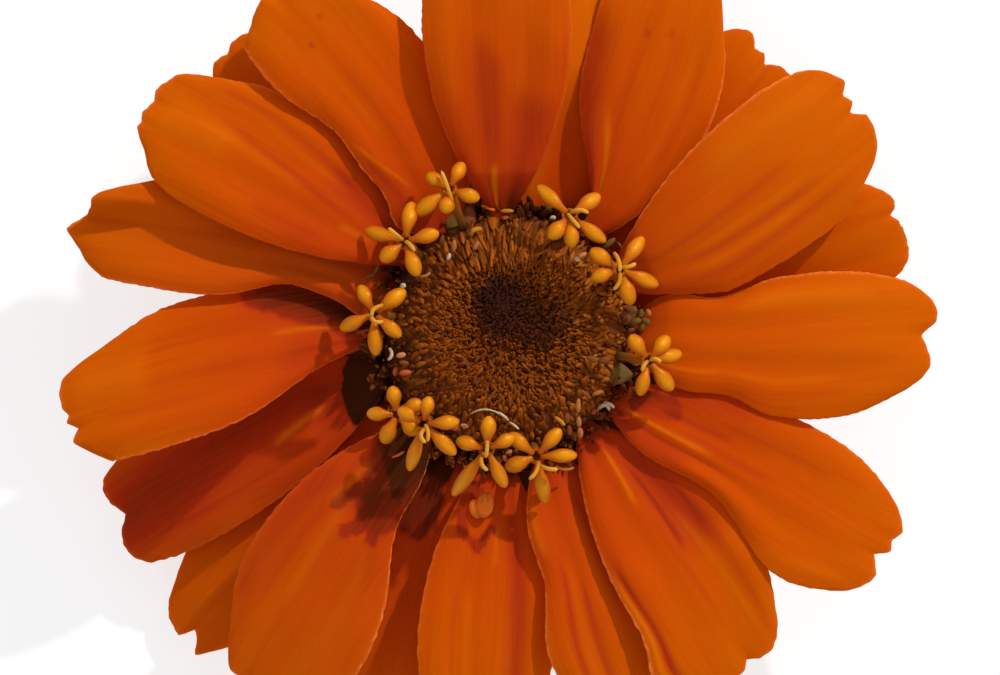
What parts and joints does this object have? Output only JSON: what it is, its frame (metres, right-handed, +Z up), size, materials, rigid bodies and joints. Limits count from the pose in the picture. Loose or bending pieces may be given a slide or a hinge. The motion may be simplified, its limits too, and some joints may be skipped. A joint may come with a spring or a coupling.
{
  "type": "zinnia flower bloom",
  "caption": "Single orange zinnia bloom lying face up: two layers of broad notched petals, a ring of yellow star florets and a dimpled brown disc on a cup of green bracts.",
  "frame": {"origin": "middle of the flat cut spot under the bloom, where it rests", "axes": "+Z up through the face of the bloom; +Y is the top of the picture and +X its right"},
  "size_m": [0.0701, 0.067, 0.0175],
  "materials": {
    "ray_orange": "soft satin petal with fine lengthwise veins",
    "floret_yellow": "plump velvety lobes",
    "disc_brown": "dry bristly chaff",
    "bract_green": "matt green with dark margins"
  },
  "bodies": {
    "root": {"ray_upper_01": "ray_orange", "ray_upper_02": "ray_orange", "ray_upper_03": "ray_orange", "ray_upper_04": "ray_orange", "ray_upper_05": "ray_orange", "ray_upper_06": "ray_orange", "ray_upper_07": "ray_orange", "ray_upper_08": "ray_orange", "ray_upper_09": "ray_orange", "ray_upper_10": "ray_orange", "ray_upper_11": "ray_orange", "ray_upper_12": "ray_orange", "ray_upper_13": "ray_orange", "ray_upper_14": "ray_orange", "ray_under_01": "ray_orange", "ray_under_02": "ray_orange", "ray_under_03": "ray_orange", "ray_under_04": "ray_orange", "ray_under_05": "ray_orange", "ray_under_06": "ray_orange", "disc": "disc_brown", "star_floret_01": "floret_yellow", "star_floret_02": "floret_yellow", "star_floret_03": "floret_yellow", "star_floret_04": "floret_yellow", "star_floret_05": "floret_yellow", "star_floret_06": "floret_yellow", "star_floret_07": "floret_yellow", "star_floret_08": "floret_yellow", "star_floret_09": "floret_yellow", "star_floret_10": "floret_yellow", "involucre": "bract_green"}
  },
  "joints": []
}
